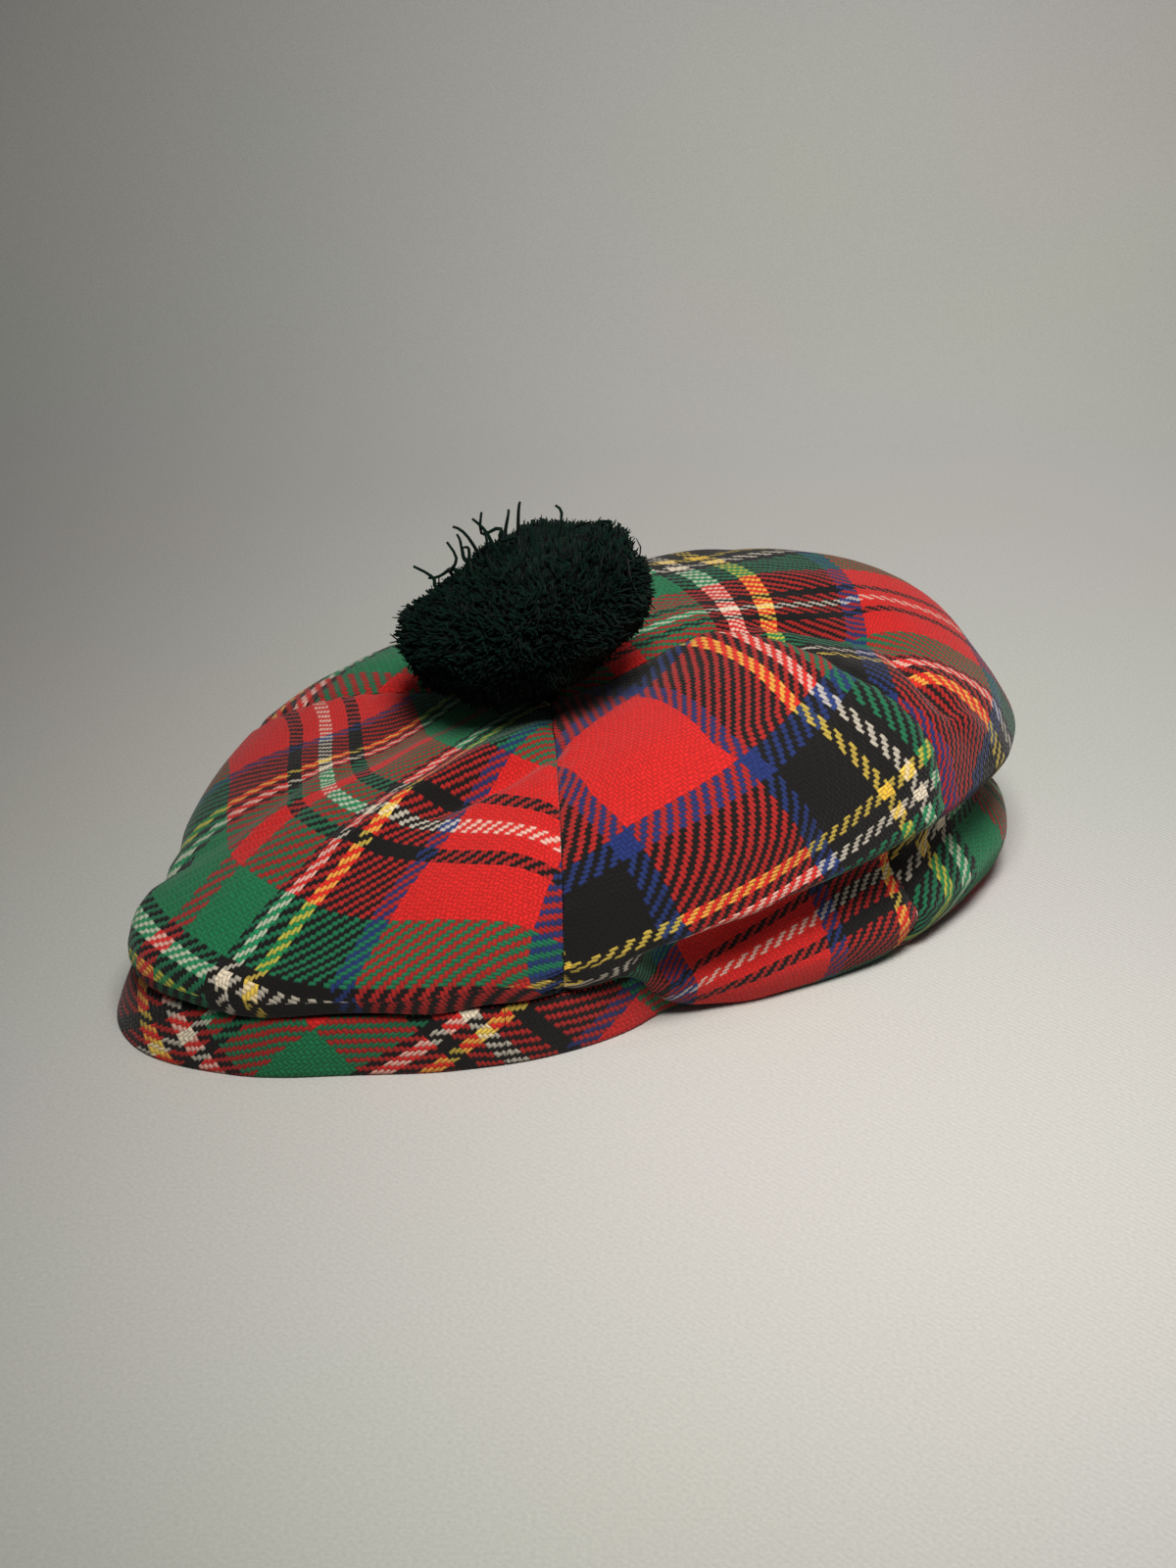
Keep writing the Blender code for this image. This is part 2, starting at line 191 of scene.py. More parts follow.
# The top centre and the middle of the band, as shares of crownReach, crownHeight and headReach
middles = {"topX": -0.080, "topY": 0.107, "topHeight": 0.755, "bandX": -0.254, "bandY": -0.186}
topX = middles["topX"] * cap["crownReach"]
topY = middles["topY"] * cap["crownReach"]
topHeight = middles["topHeight"] * cap["crownHeight"]
bandX = middles["bandX"] * cap["headReach"]
bandY = middles["bandY"] * cap["headReach"]
holeRadius = cap["bindingRadius"] + cap["seamGap"]
threadSpacing = 0.00130  # a coarse wool twill, about 20 threads to the inch

# The crown's section by direction: its reach as a share of crownReach, heights as shares of crownHeight,
# and names that end in In as shares of the way from the rim in to the band
crownColumns = ("azimuth", "reach", "inner", "outer", "shoulder", "rim",
                "tuckIn", "tuck", "sagIn", "sag", "footIn", "foot")
crownRows = (
    (-180, 0.760, 0.710, 0.600, 0.450, 0.320, 0.25, 0.285, 0.30, 0.240, 0.50, 0.200),
    (-165, 0.800, 0.690, 0.560, 0.410, 0.305, 0.20, 0.270, 0.42, 0.258, 0.62, 0.247),
    (-148, 0.905, 0.680, 0.510, 0.370, 0.290, 0.20, 0.265, 0.42, 0.255, 0.62, 0.245),
    (-125, 0.905, 0.690, 0.540, 0.380, 0.290, 0.20, 0.265, 0.42, 0.255, 0.62, 0.245),
    (-105, 0.750, 0.720, 0.600, 0.430, 0.300, 0.25, 0.265, 0.45, 0.255, 0.65, 0.245),
    (-85, 0.680, 0.760, 0.680, 0.500, 0.340, 0.35, 0.290, 0.50, 0.260, 0.68, 0.245),
    (-60, 0.680, 0.810, 0.780, 0.600, 0.410, 0.70, 0.310, 0.40, 0.130, 0.60, 0.030),
    (-35, 0.745, 0.850, 0.840, 0.680, 0.480, 0.55, 0.340, 0.08, 0.120, 0.30, 0.000),
    (-15, 0.870, 0.890, 0.880, 0.720, 0.530, 0.30, 0.360, 0.02, 0.140, 0.22, 0.000),
    (10, 1.035, 0.920, 0.920, 0.740, 0.540, 0.18, 0.380, 0.00, 0.160, 0.20, 0.000),
    (35, 1.040, 0.930, 0.990, 0.820, 0.580, 0.20, 0.380, 0.02, 0.140, 0.20, 0.000),
    (60, 0.950, 0.880, 0.900, 0.780, 0.560, 0.22, 0.360, 0.04, 0.140, 0.22, 0.000),
    (90, 0.820, 0.840, 0.780, 0.640, 0.480, 0.25, 0.340, 0.06, 0.140, 0.26, 0.000),
    (120, 0.740, 0.790, 0.690, 0.530, 0.410, 0.30, 0.320, 0.08, 0.150, 0.25, 0.000),
    (150, 0.720, 0.740, 0.660, 0.500, 0.350, 0.28, 0.290, 0.12, 0.170, 0.32, 0.060),
)
# Each seam's azimuth in degrees at seamPlaces along the way from the top centre to the band. The second
# lies a little nearer the front than in the solids, as in the photo.
seamPlaces = (0.0, 0.17, 0.33, 0.55, 1.0)
seamRows = ((-87,) * 5, (25, 20, -5, -17, -25), (93,) * 5, (163,) * 5)
# The band from above: its reach as a share of headReach, and how far its top leans in against its height
bandColumns = ("angle", "reach", "lean")
bandRows = (
    (-180, 0.730, 0.16), (-163, 0.940, 0.44), (-150, 0.970, 0.34), (-135, 0.860, 0.16),
    (-119, 0.705, 0.08), (-97, 0.600, 0.08), (-75, 0.556, 0.08), (-50, 0.545, 0.08), (-37, 0.550, 0.08),
    (-20, 0.650, 0.04), (0, 0.800, 0.04), (18, 0.900, 0.04), (35, 0.830, 0.04), (55, 0.700, 0.04),
    (80, 0.610, 0.04), (105, 0.590, 0.04), (130, 0.610, 0.04), (155, 0.650, 0.08),
)
# A hollow at the right and a bulge at the left: azimuth and share of the rim's reach, half widths, and rise
foldRows = ((12, 0.72, 11, 0.22, -0.085), (-135, 0.55, 14, 0.40, 0.020))
# Creases and pinches, each between two places given by azimuth and distance from the top centre, then half
# width and rise. Lengths are shares of crownReach, and each rise here and above is a share of crownHeight.
creaseRows = (
    (-87, 0.13, -130, 0.62, 0.034, 0.055),
    (-130, 0.60, -130, 0.95, 0.034, 0.020),
    (-88, 0.25, -121, 0.47, 0.026, -0.055),
    (18, 0.45, 12, 0.76, 0.022, -0.045),
    (8, 0.74, -8, 0.84, 0.026, -0.065),
    (-160, 0.45, -150, 0.72, 0.030, 0.026),
    (-80, 0.50, -60, 0.62, 0.030, 0.014),
    (40, 0.50, 20, 0.80, 0.040, 0.024),
    (-10, 0.80, -2, 0.98, 0.024, 0.030),
)
# Both fade out along a section over the stretch before "until". A crease starts and ends "low" on its wave.
fade = {"until": 0.60, "over": 0.06, "low": 0.1}
# How far along each control point of a section is met. The one at rimKnot is the rim.
knots = np.array([0, 0.05, 0.17, 0.36, 0.50, 0.555, 0.58, 0.67, 0.76, 0.85, 0.92, 0.96, 0.98, 1.0])
rimKnot = 6


def table(columns, rows):
    return dict(zip(columns, np.array(rows, float).T))


crown = table(crownColumns, crownRows)
band = table(bandColumns, bandRows)


# A smooth curve from v0 to v1 with slopes m0 and m1, at the share s of a step h
def curve(s, h, v0, m0, v1, m1):
    return ((2 * s**3 - 3 * s**2 + 1) * v0 + (s**3 - 2 * s**2 + s) * h * m0
            + (3 * s**2 - 2 * s**3) * v1 + (s**3 - s**2) * h * m1)


# A smooth closed curve through values at angles in degrees
def around(angles, values, where):
    a = np.concatenate([angles - 360, angles, angles + 360])
    v = np.concatenate([values, values, values])
    slope = np.gradient(v, a)
    w = (np.asarray(where, float) - angles[0]) % 360 + angles[0]
    k = np.clip(np.searchsorted(a, w, side="right") - 1, 0, len(a) - 2)
    h = a[k + 1] - a[k]
    return curve((w - a[k]) / h, h, v[k], slope[k], v[k + 1], slope[k + 1])


def turnGap(a, b):
    return (np.asarray(a) - b + 180) % 360 - 180


def bandReach(angle):
    return cap["headReach"] * around(band["angle"], band["reach"], angle)


def bandLean(angle):
    return cap["bandHeight"] * around(band["angle"], band["lean"], angle)


def bandSeenFromTop():
    angle = np.arange(0, 360, 1.0)
    edge = bandReach(angle) - bandLean(angle) / 2
    x = bandX - topX + edge * np.cos(np.radians(angle))
    y = bandY - topY + edge * np.sin(np.radians(angle))
    azimuth = np.degrees(np.arctan2(y, x))
    order = np.argsort(azimuth)
    return azimuth[order], np.hypot(x, y)[order]


bandAzimuth, bandDistance = bandSeenFromTop()


hem = {
    # In thicknesses of the cloth: the least way from band to rim, the way from which the cloth under the rim
    # starts to fold and the further way it takes, and the rounding above the rim
    "least": 2.3, "foldFrom": 4.0, "foldOver": 4.5, "roundIn": 0.9, "roundUp": 2.2,
    # Where the cloth comes in to the band: thicknesses from its edge, but at most a share of what is left.
    # Its height there is first a share of the drop from the foot, and then thicknesses above the band.
    "landing": ((5.5, 0.60), (3.0, 0.35), (1.0, 0.15)), "drop": 0.30, "rise": (1.2, 0.35),
    "lap": 0.2,  # in thicknesses of the band
}
# Shares of the rim's reach at which the points named top, inner, outer and shoulder stand
reachShares = (0.10, 0.35, 0.70, 0.93)


# Control points (reach, height) of the crown in each direction, from the top centre to the band
def section(azimuth):
    get = {name: around(crown["azimuth"], crown[name], azimuth) for name in crownColumns[1:]}
    t, high = cap["cloth"], cap["crownHeight"]
    low = cap["bandHeight"] + cap["seamGap"]
    end = np.interp(azimuth, bandAzimuth, bandDistance, period=360) - hem["lap"] * cap["bandThickness"]
    rim = np.maximum(cap["crownReach"] * get["reach"], end + hem["least"] * t)
    way, rimHeight, foot = rim - end, get["rim"] * high, get["foot"] * high
    left = (1 - get["footIn"]) * way
    reaches = [end + np.minimum(thick * t, share * left) for thick, share in hem["landing"]]
    under = [
        (rim - get["tuckIn"] * way, get["tuck"] * high),
        (rim - get["sagIn"] * way, get["sag"] * high),
        (rim - get["footIn"] * way, foot),
        *zip(reaches, (foot + hem["drop"] * (low - foot), *(low + rise * t for rise in hem["rise"]))),
    ]
    # Where there is little way between rim and band, the cloth turns in along an even curve instead
    openShare = np.clip((way - hem["foldFrom"] * t) / (hem["foldOver"] * t), 0, 1)
    openShare = openShare**2 * (3 - 2 * openShare)
    turned = []
    for i, (r, z) in enumerate(under):
        a = pi / 2 * (i + 1) / (len(under) + 1)
        roundR = end + way * cos(a)
        roundZ = rimHeight - (rimHeight - low) * sin(a)
        turned.append((roundR + openShare * (r - roundR), roundZ + openShare * (z - roundZ)))
    near, inner, outer, shoulder = reachShares
    points = [
        (holeRadius + 0 * rim, topHeight + 0 * rim),
        (near * rim, topHeight + near * (get["inner"] * high - topHeight)),
        (inner * rim, get["inner"] * high),
        (outer * rim, get["outer"] * high),
        (shoulder * rim, get["shoulder"] * high),
        (rim - hem["roundIn"] * t, rimHeight + hem["roundUp"] * t),
        (rim, rimHeight),
        *turned,
        (end, low),
    ]
    return np.stack([np.stack(np.broadcast_arrays(r, z), -1) for r, z in points], -2)


# A point of the crown's outer face: azimuth in degrees, along from 0 at the top centre to 1 at the band
def crownPoint(azimuth, along):
    azimuth, along = np.broadcast_arrays(np.asarray(azimuth, float), np.asarray(along, float))
    p = section(azimuth)
    k = np.clip(np.searchsorted(knots, along, side="right") - 1, 0, len(knots) - 2)
    chord = (p[..., 1:, :] - p[..., :-1, :]) / (knots[1:] - knots[:-1])[:, None]
    pace = np.linalg.norm(chord, axis=-1, keepdims=True)
    before, after = pace[..., :-1, :], pace[..., 1:, :]
    inner = (chord[..., :-1, :] * after + chord[..., 1:, :] * before) / (before + after)
    slope = np.concatenate([chord[..., :1, :], inner, chord[..., -1:, :]], -2)
    kk = k[..., None, None]
    p0, p1 = (np.take_along_axis(p, kk + i, -2)[..., 0, :] for i in (0, 1))
    m0, m1 = (np.take_along_axis(slope, kk + i, -2)[..., 0, :] for i in (0, 1))
    h = (knots[k + 1] - knots[k])[..., None]
    q = curve((along[..., None] - knots[k][..., None]) / h, h, p0, m0, p1, m1)
    reach, height = q[..., 0], q[..., 1]
    share = reach / p[..., rimKnot, 0]
    over = np.clip((fade["until"] - along) / fade["over"], 0, 1)
    for at, place, wide, long, rise in foldRows:
        bump = np.exp(-(turnGap(azimuth, at) / wide) ** 2 - ((share - place) / long) ** 2)
        height = height + over * rise * cap["crownHeight"] * bump
    a = np.radians(azimuth)
    flatX, flatY = reach * np.cos(a) / cap["crownReach"], reach * np.sin(a) / cap["crownReach"]
    for fromTurn, fromOut, toTurn, toOut, wide, rise in creaseRows:
        x0, y0 = fromOut * cos(radians(fromTurn)), fromOut * sin(radians(fromTurn))
        x1, y1 = toOut * cos(radians(toTurn)) - x0, toOut * sin(radians(toTurn)) - y0
        where = np.clip(((flatX - x0) * x1 + (flatY - y0) * y1) / (x1 * x1 + y1 * y1), 0, 1)
        far = np.hypot(flatX - x0 - where * x1, flatY - y0 - where * y1)
        wave = np.sin(pi * (fade["low"] + (1 - 2 * fade["low"]) * where))
        height = height + over * rise * cap["crownHeight"] * np.exp(-(far / wide) ** 2) * wave
    height = np.maximum(height, 0)
    return np.stack([topX + reach * np.cos(a), topY + reach * np.sin(a), height], -1)


def seamAzimuth(row, along):
    return np.interp(along, seamPlaces, seamRows[row])


def unit(v):
    return v / np.maximum(np.linalg.norm(v, axis=-1, keepdims=True), 1e-12)


# A mesh piece from points and faces. Each point may have its thread numbers (three values, the last one 0)
# or its tint (one value) for the material to read. Edges that bend by over "sharp" degrees stay sharp.
def addPiece(name, verts, faces, material, node, threads=None, tint=None, sharp=50):
    mesh = bpy.data.meshes.new(name)
    mesh.from_pydata(np.asarray(verts).tolist(), [], faces)
    mesh.validate()
    if threads is not None:
        layer = mesh.attributes.new("threads", "FLOAT_VECTOR", "POINT")
        layer.data.foreach_set("vector", np.asarray(threads, np.float32).ravel())
    if tint is not None:
        layer = mesh.attributes.new("tint", "FLOAT", "POINT")
        layer.data.foreach_set("value", np.asarray(tint, np.float32).ravel())
    mesh.shade_smooth()
    mesh.set_sharp_from_angle(angle=radians(sharp))
    mesh.materials.append(material)
    piece = bpy.data.objects.new(name, mesh)
    scene.collection.objects.link(piece)
    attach(piece, "root")
    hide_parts(node)


# How far each point of a grid is from the first one along the axis, measured along the cloth
def lengthFrom(grid, axis):
    steps = np.linalg.norm(np.diff(grid, axis=axis), axis=-1)
    return np.insert(np.cumsum(steps, axis), 0, 0, axis=axis)


# The thread numbers of a wall's points, the same on both of its faces
def wallThreads(warp, weft):
    return np.tile(np.stack([warp, weft, 0 * warp], -1).reshape(-1, 3), (2, 1))


# Points and faces of a closed wall between two grids of the same shape
def wall(outer, inner):
    rows, cols = outer.shape[:2]
    verts = np.concatenate([outer.reshape(-1, 3), inner.reshape(-1, 3)])
    n = rows * cols
    r, c = np.meshgrid(np.arange(rows - 1), np.arange(cols - 1), indexing="ij")
    a = (r * cols + c).ravel()
    quads = np.stack([a, a + cols, a + cols + 1, a + 1], -1)
    faces = quads.tolist() + (n + quads[:, ::-1]).tolist()
    edge = list(range(cols))
    edge += [i * cols + cols - 1 for i in range(1, rows)]
    edge += [(rows - 1) * cols + i for i in range(cols - 2, -1, -1)]
    edge += [i * cols for i in range(rows - 2, 0, -1)]
    for i, a in enumerate(edge):
        b = edge[(i + 1) % len(edge)]
        faces.append([a, b, n + b, n + a])
    return verts, faces


# Places where the middle of each tartan stripe was read, in pixels of the photo's 1200 x 1600 frame,
# under the stripe's thread number, which is counted from the middle of a repeat. "a" is the one set of
# threads and "b" the set that crosses it. "hand" says to which side b lies from a.
stripes = {
    "crown_panel_front_left": {"hand": -1, "a": {
        103: ((560, 975), (570, 910), (590, 1014)),
        59: ((365, 1036), (354, 1007), (397, 920), (435, 862), (460, 833), (496, 806), (521, 781),
             (540, 740)),
        35: ((276, 1032), (250, 1000), (300, 945), (335, 910), (352, 880), (400, 830), (435, 800),
             (460, 765), (500, 745), (545, 720)),
        27: ((240, 1036), (228, 1000), (262, 950), (300, 910), (325, 880), (350, 850), (385, 825)),
        0: ((288, 827), (250, 870), (225, 900), (187, 938)),
        -27: ((333, 769), (290, 795), (246, 824), (205, 850), (172, 895)),
        -35: ((245, 815), (200, 850), (167, 885)),
        -59: ((240, 790), (300, 770), (350, 755), (400, 745)),
    }, "b": {
        -27: ((455, 765), (500, 768), (540, 780)),
        -9: ((350, 700), (358, 740), (365, 790), (385, 805), (445, 806), (490, 815), (573, 820)),
        0: ((320, 700), (331, 763), (338, 790), (350, 820), (385, 828), (460, 840), (500, 855), (573, 862)),
        9: ((298, 713), (303, 771), (325, 835), (400, 860), (460, 870), (573, 890)),
        27: ((240, 885), (290, 900), (340, 925), (400, 945), (465, 959), (565, 973)),
        45: ((350, 1010), (420, 1006), (482, 1002), (543, 992)),
        50: ((228, 1003),),
        46: ((285, 1013),),
        67: ((350, 1034), (450, 1031), (550, 1018)),
    }},
    "crown_panel_front_right": {"hand": -1, "a": {
        103: ((580, 790), (610, 830), (635, 860), (660, 900), (690, 955), (700, 1000)),
        59: ((650, 705), (700, 732), (772, 765), (800, 805), (830, 850), (850, 940)),
        35: ((740, 660), (760, 680), (800, 710), (830, 740), (870, 780), (905, 800), (925, 830), (900, 890),
             (915, 920), (925, 950)),
        27: ((785, 655), (800, 675), (840, 705), (880, 740), (915, 780), (945, 815)),
        19: ((855, 690), (905, 730), (960, 800)),
    }, "b": {
        126: ((580, 745), (650, 705)),
        82: ((585, 895), (635, 860), (700, 815), (772, 765), (830, 715), (860, 690)),
        58: ((590, 985), (650, 965), (690, 950), (740, 935), (800, 890), (840, 860), (880, 830), (912, 798),
             (925, 775)),
        50: ((845, 885), (890, 850), (928, 828), (948, 812), (965, 780)),
        0: ((710, 995), (750, 975), (800, 950), (830, 940)),
        -9: ((750, 1005), (840, 960)),
    }},
    "crown_panel_back_right": {"hand": 1, "a": {
        -27: ((746, 602), (746, 625), (752, 653), (722, 592)),
        -35: ((775, 592), (775, 620), (780, 653), (748, 586)),
        -59: ((857, 598), (882, 647), (894, 682)),
        -100: ((1004, 690),),
        -103: ((1018, 738),),
        -149: ((960, 905), (1002, 872)),
    }, "b": {
        -27: ((745, 595), (790, 585), (812, 577), (850, 575)),
        -9: ((745, 605), (800, 607), (840, 612), (870, 612), (900, 607), (940, 612)),
        0: ((660, 638), (700, 622), (745, 620), (775, 620), (800, 625), (830, 630), (870, 620), (920, 620),
            (960, 630)),
        9: ((690, 642), (720, 635), (750, 635), (800, 640), (840, 640), (870, 627), (900, 622), (940, 633),
            (980, 652)),
        27: ((890, 637), (920, 640), (950, 655), (990, 675)),
        50: ((900, 655), (915, 652), (935, 667), (955, 683), (975, 693), (1000, 712), (1011, 733),
             (985, 850), (985, 870), (978, 900), (970, 925)),
        58: ((915, 663), (935, 680), (945, 703), (965, 715), (985, 722), (1002, 740), (965, 860),
             (968, 880), (962, 910), (957, 930)),
        82: ((960, 765), (985, 790)),
        66: ((815, 664), (845, 672), (870, 675), (890, 690)),
        70: ((940, 900),),
        36: ((1006, 855), (1000, 880)),
    }},
}
# The seam each panel starts at. Where no stripe is given, "turn" and "start" are the lie of the cloth in
# degrees and the thread numbers it starts from. "tuck" is the fold under the front left rim: azimuth, half
# width, place along the section, and threads folded away.
panels = {
    "crown_panel_front_right": {"seam": 0, "slot": "tartan_front_right"},
    "crown_panel_back_right": {"seam": 1, "slot": "tartan_back_right"},
    "crown_panel_back_left": {"seam": 2, "slot": "tartan_back_left", "turn": 200.0, "start": (40.0, 30.0)},
    "crown_panel_front_left": {"seam": 3, "slot": "tartan_front_left", "tuck": (-100, 34, 0.612, 15)},
}
weave = {
    "columns": 96, "rows": 170,
    "crowd": 0.145,  # how much closer together the columns stand beside the seams
    "turnStep": 0.2, "alongStep": 0.0005,  # steps in azimuth and along the section that give the normal
    "tuckStep": 0.0002,  # half the way between the two rows that stand at the tuck
    # Lengths in metres over which a stripe eases its neighbours, and how loosely it is met
    "reach": 0.040, "ease": 0.03,
    # In pixels: how near a point has to be to a place that was read, the slack where none is so near, and
    # where the place is dropped. "deep" is how far another point may be behind the nearest.
    "near": 6, "slack": 1.5, "missed": 9, "deep": 0.012,
    # The cloth rolls in at a seam, and the stitches pucker it
    "roll": 0.0012, "rollWidth": 0.0026, "rollPower": 1.5,
    "pucker": 0.00025, "stitch": 0.0085, "puckerWidth": 0.007,
    # Soft unevenness: its height, and how far from a seam and from the top centre it comes up
    "worn": 0.0006, "wornWidth": 0.020, "wornTop": 0.2,
}
# Two waves across each other: length, how far the other one bends it, and the length of that bend
wornWaves = ((0.0085, 1.7, 0.015), (0.0105, 1.4, 0.018))


# The panel laid nearly flat again: the length from the top centre, and the width turned round it
def layFlat(grid):
    length = lengthFrom(grid, 0) + holeRadius
    width = lengthFrom(grid, 1)
    width -= width[:, grid.shape[1] // 2][:, None]
    turn = width / length
    return np.stack([length * np.cos(turn), length * np.sin(turn)], -1)


# How much each place in b says at each place in a: 1 on the spot, and less further off
def kernel(a, b):
    r = np.linalg.norm(a[:, None] - b[None], axis=-1) / weave["reach"]
    return (1 + r + r * r / 3) * np.exp(-r)


# Thread numbers over a flat grid: evenly spaced threads, then eased so that the given stripes are met
def threadNumbers(flat, spots, numbers, way):
    base = way[2] + (flat.reshape(-1, 2) @ np.array(way[:2])) / threadSpacing
    if len(spots):
        left = numbers - way[2] - (spots @ np.array(way[:2])) / threadSpacing
        weight = np.linalg.solve(kernel(spots, spots) + weave["ease"] * np.eye(len(spots)), left)
        base = base + kernel(flat.reshape(-1, 2), spots) @ weight
    return base.reshape(flat.shape[:2])


# The even lay (direction and start) that misses the given stripes least, the two sets square to each other
def bestLay(spotsA, numbersA, spotsB, numbersB, hand):
    best = None
    for degree in range(360):
        a = radians(degree)
        wayA, wayB = np.array([cos(a), sin(a)]), hand * np.array([-sin(a), cos(a)])
        missA = numbersA - spotsA @ wayA / threadSpacing
        missB = numbersB - spotsB @ wayB / threadSpacing
        miss = missA.var() * len(missA) + missB.var() * len(missB)
        if best is None or miss < best[0]:
            best = (miss, (*wayA, missA.mean()), (*wayB, missB.mean()))
    return best[1:]


# Threads of the second set that are folded away in the tuck under the rim, so that they are never seen
def tucked(made, azimuth, along):
    if "tuck" not in made:
        return 0 * along
    at, wide, place, count = made["tuck"]
    return np.where(along > place, count * np.exp(-(turnGap(azimuth, at) / wide) ** 4), 0)


# Points of a panel's grid that the camera sees at the places read off the photo: row, column, number
def spotsSeen(outer, normal, read):
    away = outer + shift - np.array(camera.location)
    depth = away @ np.array([0, cos(pitch), -sin(pitch)])
    focal = view["lens"] / camera.data.sensor_width * view["frame"][1]
    across = view["frame"][0] / 2 + focal * away[..., 0] / depth
    down = view["frame"][1] / 2 - focal * (away @ np.array([0, sin(pitch), cos(pitch)])) / depth
    facing = (normal * away).sum(-1) < 0
    found = []
    for number, places in read.items():
        for x, y in places:
            miss = np.hypot(across - x, down - y)
            near = facing & (miss < max(weave["near"], miss[facing].min() + weave["slack"]))
            near &= depth < depth[near].min() + weave["deep"]
            miss = np.where(near, miss, np.inf)
            row, column = np.unravel_index(miss.argmin(), miss.shape)
            if miss[row, column] < weave["missed"]:
                found.append((row, column, number))
    return np.array(found).T


def buildPanel(name, made):
    index = made["seam"]
    along = np.linspace(0, 1, weave["rows"] + 1)
    if "tuck" in made:
        row = int(made["tuck"][2] * weave["rows"])
        along[row:row + 2] = made["tuck"][2] + weave["tuckStep"] * np.array([-1, 1])
    start = seamAzimuth(index, along)
    stop = seamAzimuth((index + 1) % 4, along)
    stop = start + (stop - start) % 360
    edgeReach = [np.hypot(*(crownPoint(a, along)[:, :2] - [topX, topY]).T) for a in (start, stop)]
    start = start + np.degrees(0.5 * cap["seamGap"] / edgeReach[0])
    stop = stop - np.degrees(0.5 * cap["seamGap"] / edgeReach[1])
    u = np.linspace(0, 1, weave["columns"] + 1)
    u = u - weave["crowd"] * np.sin(2 * pi * u)
    azimuth = start[:, None] + (stop - start)[:, None] * u
    t = along[:, None] + 0 * azimuth
    outer = crownPoint(azimuth, t)
    aside, ahead = weave["turnStep"], weave["alongStep"]
    span = crownPoint(azimuth + aside, t) - crownPoint(azimuth - aside, t)
    fall = crownPoint(azimuth, np.clip(t + ahead, 0, 1)) - crownPoint(azimuth, np.clip(t - ahead, 0, 1))
    normal = unit(np.cross(fall, span))
    inner = outer - cap["cloth"] * normal
    flat = layFlat(outer)
    sets = stripes.get(name)
    if sets:
        rowsA, columnsA, numbersA = spotsSeen(outer, normal, sets["a"])
        rowsB, columnsB, numbersB = spotsSeen(outer, normal, sets["b"])
        spotsA, spotsB = flat[rowsA, columnsA], flat[rowsB, columnsB]
        folded = tucked(made, azimuth, t)
        numbersB = numbersB - folded[rowsB, columnsB]
        layA, layB = bestLay(spotsA, numbersA, spotsB, numbersB, sets["hand"])
        warp = threadNumbers(flat, spotsA, numbersA, layA)
        weft = threadNumbers(flat, spotsB, numbersB, layB) + folded
    else:
        a = radians(made["turn"])
        warp = threadNumbers(flat, [], None, (cos(a), sin(a), made["start"][0]))
        weft = threadNumbers(flat, [], None, (-sin(a), cos(a), made["start"][1]))
    fromStart = lengthFrom(outer, 1)
    toSeam = np.minimum(fromStart, fromStart[:, -1:] - fromStart)
    roll = weave["roll"] * np.exp(-(toSeam / weave["rollWidth"]) ** weave["rollPower"])
    stitches = np.sin(2 * pi * lengthFrom(outer[:, :1], 0) / weave["stitch"] + index)
    pucker = weave["pucker"] * stitches * np.exp(-(toSeam / weave["puckerWidth"]) ** 2)
    # Soft unevenness of cloth that was pressed and then worn
    x, y = flat[..., 0], flat[..., 1]
    (longX, bendX, swayX), (longY, bendY, swayY) = wornWaves
    waveX = np.sin(x / longX + bendX * np.sin(y / swayX + index))
    waveY = np.sin(y / longY + bendY * np.sin(x / swayY))
    worn = weave["worn"] * (waveX * waveY) * (1 - np.exp(-(toSeam / weave["wornWidth"]) ** 2))
    worn = worn * np.clip(t / weave["wornTop"], 0, 1)
    inner = inner + worn[..., None] * normal
    outer = outer + (worn - roll - pucker)[..., None] * normal
    verts, faces = wall(outer, inner)
    verts = verts + shift
    verts[:, 2] = np.maximum(verts[:, 2], 0)
    addPiece(name + "_cloth", verts, faces, tartan, name, wallThreads(warp, weft))


dyes = {
    "red": "DE2D28", "green": "219060", "black": "17120F",
    "blue": "2C4084", "yellow": "F5D258", "white": "F2E6D2",
}
# Half a repeat of each set of threads, from one mirror line to the next
settA = (("red", 4), ("green", 18), ("black", 3), ("white", 4), ("black", 4), ("yellow", 4), ("black", 19),
         ("blue", 6), ("red", 19))
settB = (("white", 2), ("red", 5), ("black", 4), ("red", 16), ("green", 18), ("black", 3), ("white", 4),
         ("black", 4), ("yellow", 4), ("black", 19), ("blue", 6), ("red", 19))
twill = {
    "wander": 0.9, "wanderScale": 420.0,  # how far the yarn strays, in threads from side to side
    "underTintAndShade": 0.52,  # how much the yarn below tints the one above it, with painted shade that the neighbouring yarns cast on it
    "roundness": 0.7, "floatLow": 0.4, "floatRise": 0.6,
    # Brightness, as how much it varies and its least value: by yarn, by fibre, and painted shade by height
    # from the hollows
    "yarn": (0.16, 0.92), "fibre": (0.5, 0.75), "hollow": (0.50, 0.50), "fibreScale": 2600.0,
    "nap": 0.35, "bump": 0.55, "bumpHeight": 0.00045,
    "surface": {"Roughness": 0.9, "IOR": 1.54, "Specular IOR Level": 0.2, "Sheen Weight": 0.12,
                "Sheen Roughness": 0.5},
}


